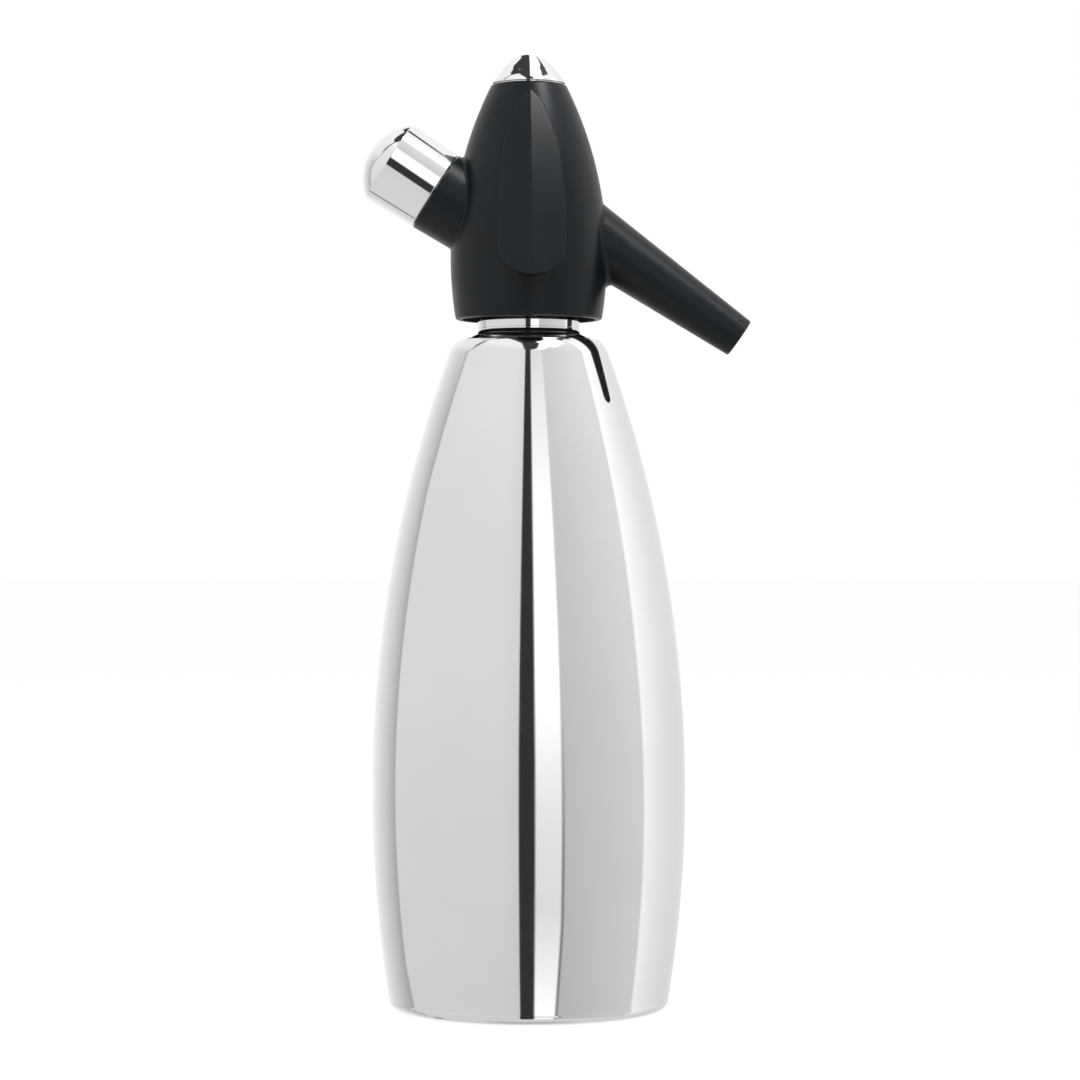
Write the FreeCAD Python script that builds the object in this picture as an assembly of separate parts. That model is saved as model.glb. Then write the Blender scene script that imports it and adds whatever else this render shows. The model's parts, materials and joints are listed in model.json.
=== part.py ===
import FreeCAD, Part
import math
import os

# Soda siphon, one litre, charged with a standard 8 g gas charger.
# Millimetres, +Z up, origin at the centre of the standing circle.
# The charger holder points to -X, the spout to +X and the lever faces -Y.

# ---- Bottle ------------------------------------------------------------------
BOTTLE_R = 50.1            # widest radius
WIDEST_Z = 69.0            # height of the widest place
SIDE_ARC_R = 410.0         # the whole side is one arc
STEEL = 1.0                # wall of shell and base
FOOT_R = 42.0              # outer edge of the standing ring
FOOT_INNER_R = 39.5        # where shell and base plate are welded
FOOT_ROUND_Z = 3.0         # top of the rounded bottom corner
BASE_DOME_Z = 3.5          # underside of the base plate's middle
SIDE_TOP_Z = 211.5         # where the side turns into the shoulder
SHOULDER_R = 22.0          # end of the shoulder round
SHOULDER_Z = 213.6
COLLAR_R = 16.3            # visible steel collar
COLLAR_START_Z = 216.2
COLLAR_SEAM_Z = 216.6      # weld between shell and collar
COLLAR_TOP_Z = 219.6
COLLAR_CHAMFER = 0.6
THREAD_CORE_R = 15.0
NECK_TOP_Z = 226.6
NECK_BORE_R = 13.0
SPIGOT_BOTTOM_Z = 212.4    # the collar's spigot inside the shell

# ---- Tubes in the bottle -------------------------------------------------------
MEASURING_R = 12.7
MEASURING_WALL = 1.2
MEASURING_BOTTOM_Z = 161.0
MEASURING_FLANGE_R = 15.6
MEASURING_FLANGE = 1.2
VENT_R = 1.5
VENT_Z = 205.0
GASKET_BORE_R = 11.3
GASKET_R = 15.8
GASKET = 2.0
RISER_R = 4.0
RISER_BORE_R = 3.0
RISER_BOTTOM_Z = 8.0
RISER_TOP_Z = 229.0
RISER_SEAL_R = 5.0
RISER_SEAL_Z = 222.6

# ---- Head housing ----------------------------------------------------------------
HEAD_R = 25.0              # widest radius
HEAD_WIDEST_Z = 239.5
HEAD_ARC_R = 122.5
HEAD_BOTTOM_Z = 219.5
HEAD_TOP_Z = 294.5
HEAD_WALL = 2.5
SKIRT_BORE_R = 21.4
SKIRT_BORE_TOP_Z = 248.0
NUT_BORE_R = 16.9
NUT_START_Z = 221.9
NUT_CHAMFER = 0.8
LAND_BOTTOM_Z = 281.0      # thick land that the core is screwed to
LAND_TOP_Z = 287.4
RECESS_R = 10.5            # recess for the decor cap
SCREW_R = 2.0              # screw that holds the core up against the land
SCREW_CLEARANCE_R = 2.1
SCREW_HEAD_R = 3.8
SCREW_HEAD = 2.4
SCREW_TIP_Z = 272.5
SCREW_HOLE_Z = 272.0
WASHER_R = 5.0
WASHER = 0.8
KEEPER = 1.2               # plate that holds the lever pin down
RIM_ROUND = 1.0
BOSS_ROOT_ROUND = 0.8
SPOUT_ROOT_ROUND = 1.7

# ---- Charger boss, along its own axis ----------------------------------------------
CHARGER_ORIGIN = FreeCAD.Vector(0.0, 0.0, 241.1)
CHARGER_TILT = 33.2        # degrees above the horizontal, towards -X
BOSS_END = 35.3            # distance from the bottle's axis
BOSS_R = 13.5
BOSS_HALF_ANGLE = 2.8
SOCKET_R = 11.5
SOCKET_BORE_R = 10.6
SOCKET_START = 9.0
SOCKET_END = 34.0
POCKET_R = 4.2             # pocket round the charger's neck
POCKET_END = -12.0
PIERCING_DISC = 1.8
PIERCING_BORE_R = 0.35
PIERCING_R = 0.9
SEAL_BORE_R = 1.0

# ---- Gas charger (standard 8 g) -----------------------------------------------------
CHARGER_R = 9.0
CHARGER_BASE = 57.5
CHARGER_SHOULDER = 11.5
CHARGER_NECK = 1.0
CHARGER_TIP = -8.0
CHARGER_NECK_R = 3.8
CHARGER_WALL = 1.2
PIERCED_R = 1.2

# ---- Charger holder ---------------------------------------------------------------
HOLDER_START = 35.6
HOLDER_START_R = 13.5
HOLDER_EDGE = 52.9
HOLDER_EDGE_R = 14.1
HOLDER_APEX = 60.0
HOLDER_WALL = 1.2
SLEEVE_START = 12.5
SLEEVE_END = 52.0
SLEEVE_BORE_R = 9.3
SLEEVE_R = 10.2
SLEEVE_FLANGE = 2.5

# ---- Spout, along its own axis ----------------------------------------------------
SPOUT_ORIGIN = FreeCAD.Vector(0.0, 0.0, 260.4)
SPOUT_TILT = -34.6         # degrees, downwards to +X
SPOUT_ROOT = 30.4
SPOUT_ROOT_R = 9.9
SPOUT_END = 82.1
SPOUT_TIP_R = 6.5
SPOUT_WALL = 2.2
SPOUT_TIP_ROUND = 0.5
HOLLOW_START = 18.0        # hollow round the liner
MOUTH_R = 4.4              # free mouth in front of the liner
MOUTH_DEPTH = 8.0
LINER_R = 3.8
LINER_BORE_R = 3.0
LINER_START = 8.0

# ---- Valve core -------------------------------------------------------------------
CORE_FLOOR_Z = 229.85
CORE_FLANGE_TOP_Z = 233.0
CORE_DRUM_R = 17.0
CORE_DRUM_TOP_Z = 250.0
CORE_COLUMN_R = 8.5
CORE_SPIGOT_R = 7.5
CORE_SPIGOT_BOTTOM_Z = 221.8
VALVE_Z = 263.0            # height of the valve, which lies along Y
VALVE_ARM_R = 6.2
VALVE_FRONT_Y = -9.5
VALVE_REAR_Y = 16.4
VALVE_SEAT_Y = 3.5
VALVE_SEAT_THICK = 1.5
VALVE_BORE_R = 3.4         # in front of the seat, closed by the gland nut
VALVE_SEAT_R = 2.6
VALVE_CHAMBER_R = 4.4      # behind the seat, closed by the rear plug
VALVE_HEAD_R = 3.4
VALVE_SEAL = 1.6
GLAND = 2.0                # depth of the gland nut's shank
HEXAGON_HEAD = 2.5
REAR_PLUG = 3.4
STEM_R = 1.45
STEM_CLEARANCE = 0.05
STEM_FRONT_Y = -15.0
GALLERY_X = 4.0            # water passage beside the charger pocket
GALLERY_Y = 9.5
GALLERY_R = 1.8
GALLERY_WALL = 1.7
GALLERY_FLOOR_Z = 231.9
GAS_PORT_X = 6.28
GAS_PORT_Z = 227.0
GAS_PORT_R = 0.9
GAS_PORT_TOP_Z = 232.4
CHECK_SLEEVE_R = 8.3
OUTLET_BOSS_R = 5.6        # round the spout liner's start
OUTLET_BOSS_END = 19.0
PASSAGE_R = 1.3

# ---- Lever -----------------------------------------------------------------------
PIN_Y = -6.5
PIN_Z = 284.5
PIN_R = 1.25
PIN_HALF_LENGTH = 7.0
PIN_CLEARANCE = 0.05
LEVER_PRESS = 4.5          # degrees
LEVER_GAP = 0.4            # left over the housing when fully pressed
# Right side of the blade's outline, as (X, Z), from its tip to its lower corner
LEAF_SIDE = [
    (0, 291.3),
    (2.3, 289.2),
    (4.95, 284.3),
    (8.0, 275.5),
    (10.1, 259.5),
    (10.66, 249.0),
    (9.9, 237.4),
]
LEAF_BOTTOM_Z = 231.6
LEAF_FRONT_Y = -45.0       # where the outline's prism starts, in front of the blade
BLADE_EDGE_ROUND = 0.35
SKIRT_INSET = 1.7          # skirt behind the blade, inside the blade's outline
SKIRT_WALL = 1.5
SKIRT_CLEARANCE = 0.4      # between skirt and pocket
SKIRT_BOTTOM_Z = 240.0
POCKET_BOTTOM_Z = 237.4    # lower than the skirt, which sinks as it swings in
SKIRT_BACK = [(-21.5, 233.0), (-21.0, 250.0), (-15.0, 272.0), (-11.0, 281.0)]   # as (Y, Z)
ROOF_SLOPE = 0.32          # fall of each half of the blade away from its ridge
RIDGE_TOP = (-15.8, 291.8)     # ridge of the blade, as (Y, Z)
RIDGE_MIDDLE = (-27.5, 262.0)
RIDGE_BOTTOM = (-34.0, 231.0)
EAR_R = 2.6
EAR_HALF_WIDTH = 2.6
SLOT_HALF_WIDTH = 2.85
SLOT_TOP_Z = 288.0
NOSE_R = 1.5
RIB_HALF_WIDTH = 2.6

# ---- Decor cap --------------------------------------------------------------------
CAP_R = 11.9
CAP_BASE_Z = 294.9
CAP_APEX_Z = 304.6
CAP_WALL = 1.0
CAP_LIP = 0.6              # shoulder that the cap sits on
CAP_SPIGOT_BOTTOM_Z = 289.4
CAP_SIDE = [(9.76, 298.2), (7.36, 301.1), (3.84, 303.85)]     # as (radius, Z)
CAP_INNER_SIDE = [(9.4, 295.2), (8.5, 297.7), (6.2, 300.4), (3.3, 302.6)]

HIDDEN_DEFLECTION = 0.08   # how far the bands of a hidden curved face may lie from its curve

X = FreeCAD.Vector(1, 0, 0)
Y = FreeCAD.Vector(0, 1, 0)
Z = FreeCAD.Vector(0, 0, 1)


# ---- Helpers -----------------------------------------------------------------------
def at(radius, height):
    """A point of a turning profile."""
    return FreeCAD.Vector(radius, 0, height)


def line(start, end):
    return Part.makeLine(start, end)


def arc(start, middle, end):
    return Part.Arc(start, middle, end).toShape()


def curve(points, start_tangent=None, end_tangent=None):
    """A smooth curve through a few points."""
    spline = Part.BSplineCurve()
    if start_tangent and end_tangent:
        spline.interpolate(points, InitialTangent=start_tangent, FinalTangent=end_tangent)
    else:
        spline.interpolate(points)
    return spline.toShape()


def bands(edge):
    """Chords of a curved edge, for a hidden face that needs no exact curve."""
    points = edge.discretize(Deflection=HIDDEN_DEFLECTION)
    return [line(start, end) for start, end in zip(points, points[1:])]


def outline(points):
    """Straight edges round a closed list of points."""
    return Part.makePolygon(points + [points[0]]).Edges


def regular_corners(radius, sides):
    """Corners of a regular polygon about Z, half a side round from the X axis."""
    step = 2 * math.pi / sides
    angles = [step * (i + 0.5) for i in range(sides)]
    return [FreeCAD.Vector(radius * math.cos(angle), radius * math.sin(angle), 0) for angle in angles]


def hexagon(radius, start, end):
    """A hexagonal bar about Z between two heights."""
    bar = Part.Face(Part.Wire(outline(regular_corners(radius, 6)))).extrude(at(0, end - start))
    bar.translate(at(0, start))
    return bar


def turned(edges):
    """A solid turned about Z from the edges of a closed profile."""
    face = Part.Face(Part.Wire(Part.__sortEdges__(edges)))
    return face.revolve(FreeCAD.Vector(), Z, 360)


def turned_points(points):
    """A solid turned about Z from (radius, height) pairs joined by straight lines."""
    return turned(outline([at(radius, height) for radius, height in points]))


def rod(radius, start, end):
    """A cylinder about Z between two heights."""
    return Part.makeCylinder(radius, end - start, at(0, start))


def pipe(bore, radius, start, end):
    """A tube about Z between two heights."""
    return rod(radius, start, end).cut(rod(bore, start, end))


def rod_between(radius, start, end):
    """A cylinder between two points."""
    along = end.sub(start)
    return Part.makeCylinder(radius, along.Length, start, along)


def block(low, high):
    """A box between two corners."""
    size = [top - bottom for bottom, top in zip(low, high)]
    return Part.makeBox(*size, FreeCAD.Vector(*low))


def fused(shapes):
    return shapes[0].fuse(shapes[1:]).removeSplitter()


def dome_height(radius, apex, edge_radius, edge):
    """Height, at a radius, of a spherical dome with a given apex and edge."""
    rise = apex - edge
    sphere = (edge_radius**2 + rise**2) / (2 * rise)
    return apex - sphere + math.sqrt(sphere**2 - radius**2)


def dome(apex, edge_radius, edge):
    """Arc of a spherical dome, from its edge to its apex on the axis."""
    half = edge_radius / 2
    middle = at(half, dome_height(half, apex, edge_radius, edge))
    return arc(at(edge_radius, edge), middle, at(0, apex))


def arc_radius(height, widest_radius, widest_height, arc_radius_value):
    """Radius, at a height, of a barrel whose side is one arc."""
    fall = arc_radius_value - math.sqrt(arc_radius_value**2 - (height - widest_height) ** 2)
    return widest_radius - fall


def bottle_radius(height):
    return arc_radius(height, BOTTLE_R, WIDEST_Z, SIDE_ARC_R)


def head_radius(height):
    return arc_radius(height, HEAD_R, HEAD_WIDEST_Z, HEAD_ARC_R)


def direction(tilt, side):
    """Unit vector in the XZ plane, tilted from the horizontal on one side."""
    angle = math.radians(tilt)
    return FreeCAD.Vector(side * math.cos(angle), 0, math.sin(angle))


CHARGER_AXIS = direction(CHARGER_TILT, -1)
SPOUT_AXIS = direction(SPOUT_TILT, 1)


def laid_along(shape, origin, axis):
    """Move a shape that was built along Z to another axis."""
    placed = shape.copy()
    move = FreeCAD.Placement(origin, FreeCAD.Rotation(Z, axis))
    placed.Placement = move.multiply(shape.Placement)
    return placed


def on_charger_axis(shape):
    return laid_along(shape, CHARGER_ORIGIN, CHARGER_AXIS)


def on_spout_axis(shape):
    return laid_along(shape, SPOUT_ORIGIN, SPOUT_AXIS)


def on_valve_axis(shape):
    """Valve pieces are turned about Z and laid along +Y, their height becoming Y."""
    return laid_along(shape, FreeCAD.Vector(0, 0, VALVE_Z), Y)


# ---- Bottle -------------------------------------------------------------------------
def bottle_shell():
    """Deep-drawn shell: rounded foot, one long side arc, shoulder and a cove up to the collar."""
    middle_z = (FOOT_ROUND_Z + SIDE_TOP_Z) / 2
    side_low = at(bottle_radius(FOOT_ROUND_Z), FOOT_ROUND_Z)
    side_high = at(bottle_radius(SIDE_TOP_Z), SIDE_TOP_Z)
    outer = [
        line(at(FOOT_INNER_R, 0), at(FOOT_R, 0)),
        arc(at(FOOT_R, 0), at(FOOT_R + 1.95, 0.85), side_low),
        arc(side_low, at(bottle_radius(middle_z), middle_z), side_high),
        arc(side_high, at(SHOULDER_R + 1.75, SHOULDER_Z - 0.55), at(SHOULDER_R, SHOULDER_Z)),
        arc(at(SHOULDER_R, SHOULDER_Z), at(18.2, 214.5), at(COLLAR_R, COLLAR_START_Z)),
        line(at(COLLAR_R, COLLAR_START_Z), at(COLLAR_R, COLLAR_SEAM_Z)),
    ]
    bore = COLLAR_R - STEEL
    inner_low = at(side_low.x - STEEL, FOOT_ROUND_Z)
    inner_high = at(side_high.x - STEEL, SIDE_TOP_Z - STEEL / 2)
    inner = [
        line(at(COLLAR_R, COLLAR_SEAM_Z), at(bore, COLLAR_SEAM_Z)),
        line(at(bore, COLLAR_SEAM_Z), at(bore, SPIGOT_BOTTOM_Z)),
        line(at(bore, SPIGOT_BOTTOM_Z), at(SHOULDER_R - 0.6, SPIGOT_BOTTOM_Z)),
        arc(at(SHOULDER_R - 0.6, SPIGOT_BOTTOM_Z), at(SHOULDER_R + 0.9, 212.0), inner_high),
        *bands(arc(inner_high, at(bottle_radius(middle_z) - STEEL, middle_z), inner_low)),
        arc(inner_low, at(FOOT_R + 1.1, 1.6), at(FOOT_R - 0.4, STEEL)),
        line(at(FOOT_R - 0.4, STEEL), at(FOOT_INNER_R, STEEL)),
        line(at(FOOT_INNER_R, STEEL), at(FOOT_INNER_R, 0)),
    ]
    return turned(outer + inner)


def base_plate():
    """Pressed bottom: a flat weld rim, a step up and a slightly domed middle."""
    rim, step = FOOT_INNER_R, 2.0
    under = [at(rim, 0), at(rim - 1.3, 0), at(rim - 3.0, step)]
    over = [at(rim, STEEL), at(rim - 1.8, STEEL), at(rim - 3.5, step + STEEL)]
    edges = [
        line(under[0], under[1]),
        line(under[1], under[2]),
        dome(BASE_DOME_Z, under[2].x, under[2].z),
        line(at(0, BASE_DOME_Z), at(0, BASE_DOME_Z + STEEL)),
        *bands(dome(BASE_DOME_Z + STEEL, over[2].x, over[2].z)),
        line(over[2], over[1]),
        line(over[1], over[0]),
        line(over[0], under[0]),
    ]
    return turned(edges)


def neck_ring():
    """Turned collar with the thread for the head and a spigot inside the shell."""
    spigot_r = COLLAR_R - STEEL
    profile = [
        (NECK_BORE_R, SPIGOT_BOTTOM_Z),
        (spigot_r, SPIGOT_BOTTOM_Z),
        (spigot_r, COLLAR_SEAM_Z),
        (COLLAR_R, COLLAR_SEAM_Z),
        (COLLAR_R, COLLAR_TOP_Z - COLLAR_CHAMFER),
        (COLLAR_R - COLLAR_CHAMFER, COLLAR_TOP_Z),
        (THREAD_CORE_R, COLLAR_TOP_Z),
        (THREAD_CORE_R, NECK_TOP_Z),
        (NECK_BORE_R, NECK_TOP_Z),
    ]
    return turned_points(profile)


# ---- Tubes in the bottle --------------------------------------------------------------
def measuring_tube():
    """Plastic tube that hangs by its flange in the neck and limits the filling height."""
    bore = MEASURING_R - MEASURING_WALL
    flange_top = NECK_TOP_Z + MEASURING_FLANGE
    tube = pipe(bore, MEASURING_R, MEASURING_BOTTOM_Z, flange_top)
    flange = pipe(bore, MEASURING_FLANGE_R, NECK_TOP_Z, flange_top)
    vents = rod_between(
        VENT_R,
        FreeCAD.Vector(0, -MEASURING_R - 1, VENT_Z),
        FreeCAD.Vector(0, MEASURING_R + 1, VENT_Z),
    )
    return fused([tube, flange]).cut(vents)


def head_gasket():
    start = NECK_TOP_Z + MEASURING_FLANGE
    return pipe(GASKET_BORE_R, GASKET_R, start, start + GASKET)


def riser_tube():
    """Tube down to the bottom, its foot cut aslant so that it can't seal itself off."""
    tube = pipe(RISER_BORE_R, RISER_R, RISER_BOTTOM_Z, RISER_TOP_Z)
    cutter = block((-10, -10, RISER_BOTTOM_Z - 10), (10, 10, RISER_BOTTOM_Z))
    cutter.rotate(FreeCAD.Vector(-RISER_R, 0, RISER_BOTTOM_Z), Y, -20)
    return tube.cut(cutter)


def riser_seal():
    """Rubber sleeve with a lip under the core's spigot."""
    sleeve = pipe(RISER_R, RISER_SEAL_R, RISER_SEAL_Z - 1.6, RISER_TOP_Z)
    lip = pipe(RISER_R, RISER_SEAL_R + 1.2, RISER_SEAL_Z - 2.6, RISER_SEAL_Z - 1.4)
    return fused([sleeve, lip])


# ---- Head housing ----------------------------------------------------------------------
def barrel(growth=0.0, rounded=True):
    """The head's barrel, its side one arc, optionally grown by a clearance."""
    bottom = at(head_radius(HEAD_BOTTOM_Z) + growth, HEAD_BOTTOM_Z)
    widest = at(HEAD_R + growth, HEAD_WIDEST_Z)
    top = at(head_radius(HEAD_TOP_Z) + growth, HEAD_TOP_Z)
    edges = [
        line(at(0, HEAD_BOTTOM_Z), bottom),
        arc(bottom, widest, top),
        line(top, at(0, HEAD_TOP_Z)),
        line(at(0, HEAD_TOP_Z), at(0, HEAD_BOTTOM_Z)),
    ]
    solid = turned(edges)
    if not rounded:
        return solid
    rims = [edge for edge in solid.Edges if edge.BoundBox.ZLength < 0.01 and edge.Length > 1]
    return solid.makeFillet(RIM_ROUND, rims)


def boss_radius(distance):
    """The boss flares gently towards the holder."""
    return BOSS_R - (BOSS_END - distance) * math.tan(math.radians(BOSS_HALF_ANGLE))


def spout_radius(distance):
    taper = (SPOUT_ROOT_R - SPOUT_TIP_R) / (SPOUT_END - SPOUT_ROOT)
    return SPOUT_TIP_R + (SPOUT_END - distance) * taper


def spout_solid():
    profile = [
        (0, 0),
        (spout_radius(0), 0),
        (SPOUT_TIP_R, SPOUT_END),
        (0, SPOUT_END),
    ]
    cone = turned_points(profile)
    tip = [edge for edge in cone.Edges if edge.BoundBox.ZMin > SPOUT_END - 0.01]
    return on_spout_axis(cone.makeFillet(SPOUT_TIP_ROUND, tip))


def boss_solid():
    cone = turned_points([(0, 0), (boss_radius(0), 0), (BOSS_R, BOSS_END), (0, BOSS_END)])
    return on_charger_axis(cone)


def root_edges(solid):
    """The two creases where boss and spout leave the barrel."""
    boss, spout = [], []
    for edge in solid.Edges:
        box = edge.BoundBox
        flat_ring = box.ZLength < 0.01
        if flat_ring or edge.Length < 10 or box.YLength < 10:
            continue
        middle = edge.valueAt((edge.FirstParameter + edge.LastParameter) / 2)
        on_barrel = abs(math.hypot(middle.x, middle.y) - head_radius(middle.z)) < 0.2
        if on_barrel and box.XMax < 0:
            boss.append(edge)
        elif on_barrel and box.XMin > 0:
            spout.append(edge)
    return boss, spout


def housing_form():
    """Outer form: barrel, charger boss and spout, with a soft root to each."""
    body = fused([barrel(), boss_solid(), spout_solid()])
    for which, round_radius in enumerate((BOSS_ROOT_ROUND, SPOUT_ROOT_ROUND)):
        body = body.makeFillet(round_radius, root_edges(body)[which])
    return body


def housing_cavity():
    """Room for the core: a straight skirt bore, then a wall that follows the barrel."""
    middle_z = (SKIRT_BORE_TOP_Z + LAND_BOTTOM_Z) / 2
    bottom = HEAD_BOTTOM_Z - 1
    low = at(SKIRT_BORE_R, SKIRT_BORE_TOP_Z)
    high = at(head_radius(LAND_BOTTOM_Z) - HEAD_WALL, LAND_BOTTOM_Z)
    edges = [
        line(at(0, bottom), at(SKIRT_BORE_R, bottom)),
        line(at(SKIRT_BORE_R, bottom), low),
        *bands(arc(low, at(head_radius(middle_z) - HEAD_WALL, middle_z), high)),
        line(high, at(0, LAND_BOTTOM_Z)),
        line(at(0, LAND_BOTTOM_Z), at(0, bottom)),
    ]
    return turned(edges)


def spout_hollow():
    """The moulded spout is hollow round its liner, with a thick end."""
    start, end = HOLLOW_START, SPOUT_END - MOUTH_DEPTH - 4
    profile = [
        (0, start),
        (spout_radius(start) - SPOUT_WALL, start),
        (spout_radius(end) - SPOUT_WALL, end),
        (0, end),
    ]
    return on_spout_axis(turned_points(profile))


def pin_grooves():
    """Grooves in the land that the lever pin drops into from above."""
    half = PIN_HALF_LENGTH + 0.1
    start = FreeCAD.Vector(-half, PIN_Y, PIN_Z)
    end = FreeCAD.Vector(half, PIN_Y, PIN_Z)
    above = block((-half, PIN_Y - PIN_R, PIN_Z), (half, PIN_Y + PIN_R, LAND_TOP_Z + 1))
    return rod_between(PIN_R, start, end).fuse(above)


def head_housing():
    """Moulded head: barrel, boss, spout, and a slot behind the lever."""
    slot = block(
        (-SLOT_HALF_WIDTH, -HEAD_R - 5, LAND_BOTTOM_Z - 10),
        (SLOT_HALF_WIDTH, PIN_Y + EAR_R + LEVER_GAP, SLOT_TOP_Z),
    )
    below_land = block((-20, -50, HEAD_BOTTOM_Z), (20, CORE_COLUMN_R, LAND_BOTTOM_Z + 0.5))
    cuts = [
        housing_cavity(),
        rod(RECESS_R, LAND_TOP_Z, HEAD_TOP_Z + 1),
        rod(SCREW_CLEARANCE_R, LAND_BOTTOM_Z - 1, LAND_TOP_Z + 1),
        on_charger_axis(rod(SOCKET_R, SOCKET_START, BOSS_END + 1)),
        spout_hollow(),
        on_spout_axis(rod(LINER_R, LINER_START, SPOUT_END)),
        on_spout_axis(rod(MOUTH_R, SPOUT_END - MOUTH_DEPTH, SPOUT_END + 1)),
        skirt_prism(SKIRT_INSET - SKIRT_CLEARANCE, POCKET_BOTTOM_Z).common(below_land),
        slot,
        pin_grooves(),
    ]
    body = housing_form()
    for cut in cuts:
        body = body.cut(cut)
    return body


def neck_nut():
    """Threaded insert in the skirt, with a lead-in chamfer."""
    profile = [
        (NUT_BORE_R + NUT_CHAMFER, NUT_START_Z),
        (SKIRT_BORE_R, NUT_START_Z),
        (SKIRT_BORE_R, CORE_FLOOR_Z),
        (NUT_BORE_R, CORE_FLOOR_Z),
        (NUT_BORE_R, NUT_START_Z + NUT_CHAMFER),
    ]
    return turned_points(profile)


# ---- Valve core --------------------------------------------------------------------------
def core_body():
    """Turned body in steps, with the valve's arm, the outlet boss and the gallery's rib."""
    steps = [
        (0, CORE_SPIGOT_BOTTOM_Z),
        (CORE_SPIGOT_R, CORE_SPIGOT_BOTTOM_Z),
        (CORE_SPIGOT_R, CORE_FLOOR_Z),
        (SKIRT_BORE_R, CORE_FLOOR_Z),
        (SKIRT_BORE_R, CORE_FLANGE_TOP_Z),
        (CORE_DRUM_R, CORE_FLANGE_TOP_Z),
        (CORE_DRUM_R, CORE_DRUM_TOP_Z),
        (CORE_COLUMN_R, CORE_DRUM_TOP_Z),
        (CORE_COLUMN_R, LAND_BOTTOM_Z),
        (0, LAND_BOTTOM_Z),
    ]
    arm = on_valve_axis(rod(VALVE_ARM_R, VALVE_FRONT_Y, VALVE_REAR_Y))
    outlet = on_spout_axis(rod(OUTLET_BOSS_R, 0, OUTLET_BOSS_END))
    rib = rod(GALLERY_R + GALLERY_WALL, CORE_DRUM_TOP_Z - 5, VALVE_Z - 3)
    rib.translate(FreeCAD.Vector(GALLERY_X, GALLERY_Y, 0))
    return fused([turned_points(steps), arm, outlet, rib])


def core_bores():
    """Every passage of the core, each as the solid that is cut away."""
    pocket = [
        (0, POCKET_END),
        (POCKET_R, POCKET_END),
        (POCKET_R, CHARGER_NECK - 0.6),
        (SLEEVE_BORE_R + 0.3, SOCKET_START),
        (SOCKET_R, SOCKET_START),
        (SOCKET_R, BOSS_END),
        (0, BOSS_END),
    ]
    valve_bore = [
        (0, VALVE_FRONT_Y - 1),
        (VALVE_BORE_R, VALVE_FRONT_Y - 1),
        (VALVE_BORE_R, VALVE_SEAT_Y),
        (VALVE_SEAT_R, VALVE_SEAT_Y),
        (VALVE_SEAT_R, VALVE_SEAT_Y + VALVE_SEAT_THICK),
        (VALVE_CHAMBER_R, VALVE_SEAT_Y + VALVE_SEAT_THICK),
        (VALVE_CHAMBER_R, VALVE_REAR_Y + 1),
        (0, VALVE_REAR_Y + 1),
    ]
    gallery_foot = FreeCAD.Vector(GALLERY_X, GALLERY_Y, GALLERY_FLOOR_Z)
    gas_port = at(GAS_PORT_X, GAS_PORT_Z)
    return [
        on_charger_axis(turned_points(pocket)),
        on_valve_axis(turned_points(valve_bore)),
        on_spout_axis(rod(VALVE_SEAT_R, 0, LINER_START + 1)),
        on_spout_axis(rod(LINER_R, LINER_START, OUTLET_BOSS_END + 11)),
        rod(RISER_SEAL_R + 0.05, CORE_SPIGOT_BOTTOM_Z - 1, RISER_TOP_Z + 0.5),
        rod(RISER_BORE_R, RISER_TOP_Z, GALLERY_FLOOR_Z + 0.6),
        rod_between(PASSAGE_R, at(0, GALLERY_FLOOR_Z), gallery_foot),
        rod_between(GALLERY_R, gallery_foot, FreeCAD.Vector(GALLERY_X, GALLERY_Y, VALVE_Z)),
        rod_between(GAS_PORT_R, gas_port, at(GAS_PORT_X, GAS_PORT_TOP_Z)),
        rod_between(GAS_PORT_R, gas_port, at(CORE_SPIGOT_R + 1, GAS_PORT_Z)),
        rod(SCREW_R, SCREW_HOLE_Z, LAND_BOTTOM_Z + 1),
    ]


def valve_core():
    """Block that carries the charger socket, the valve and all the passages between them."""
    body = core_body()
    for bore in core_bores():
        body = body.cut(bore)
    return body


def gas_check_sleeve():
    """Rubber band over the gas port: gas lifts it, water can't come back."""
    return pipe(CORE_SPIGOT_R, CHECK_SLEEVE_R, GAS_PORT_Z - 2, GAS_PORT_Z + 2)


def charger_socket():
    """Threaded tube in the boss that the holder's sleeve screws into."""
    return on_charger_axis(pipe(SOCKET_BORE_R, SOCKET_R, SOCKET_START, SOCKET_END))


def piercing_pin():
    """Hollow needle on a disc at the bottom of the charger pocket."""
    disc_bottom, disc_top = POCKET_END + 0.3, POCKET_END + PIERCING_DISC
    profile = [
        (PIERCING_BORE_R, disc_bottom),
        (POCKET_R, disc_bottom),
        (POCKET_R, disc_top),
        (PIERCING_R, disc_top),
        (PIERCING_R, CHARGER_TIP + PIERCING_R),
        (PIERCING_BORE_R, CHARGER_TIP + 2 * PIERCING_R),
    ]
    return on_charger_axis(turned_points(profile))


def charger_seal():
    seal = pipe(SEAL_BORE_R, POCKET_R, POCKET_END + PIERCING_DISC, CHARGER_TIP - 0.1)
    return on_charger_axis(seal)


def spout_liner():
    return on_spout_axis(pipe(LINER_BORE_R, LINER_R, LINER_START, SPOUT_END - MOUTH_DEPTH))


# ---- Valve ------------------------------------------------------------------------------
def gland_nut():
    """Plug with a hexagon that closes the valve's front and guides the stem."""
    head = hexagon(VALVE_ARM_R, VALVE_FRONT_Y - HEXAGON_HEAD, VALVE_FRONT_Y)
    shank = rod(VALVE_BORE_R, VALVE_FRONT_Y, VALVE_FRONT_Y + GLAND)
    bore = rod(STEM_R + STEM_CLEARANCE, VALVE_FRONT_Y - HEXAGON_HEAD - 1, VALVE_FRONT_Y + GLAND + 1)
    return on_valve_axis(fused([head, shank]).cut(bore))


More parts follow.
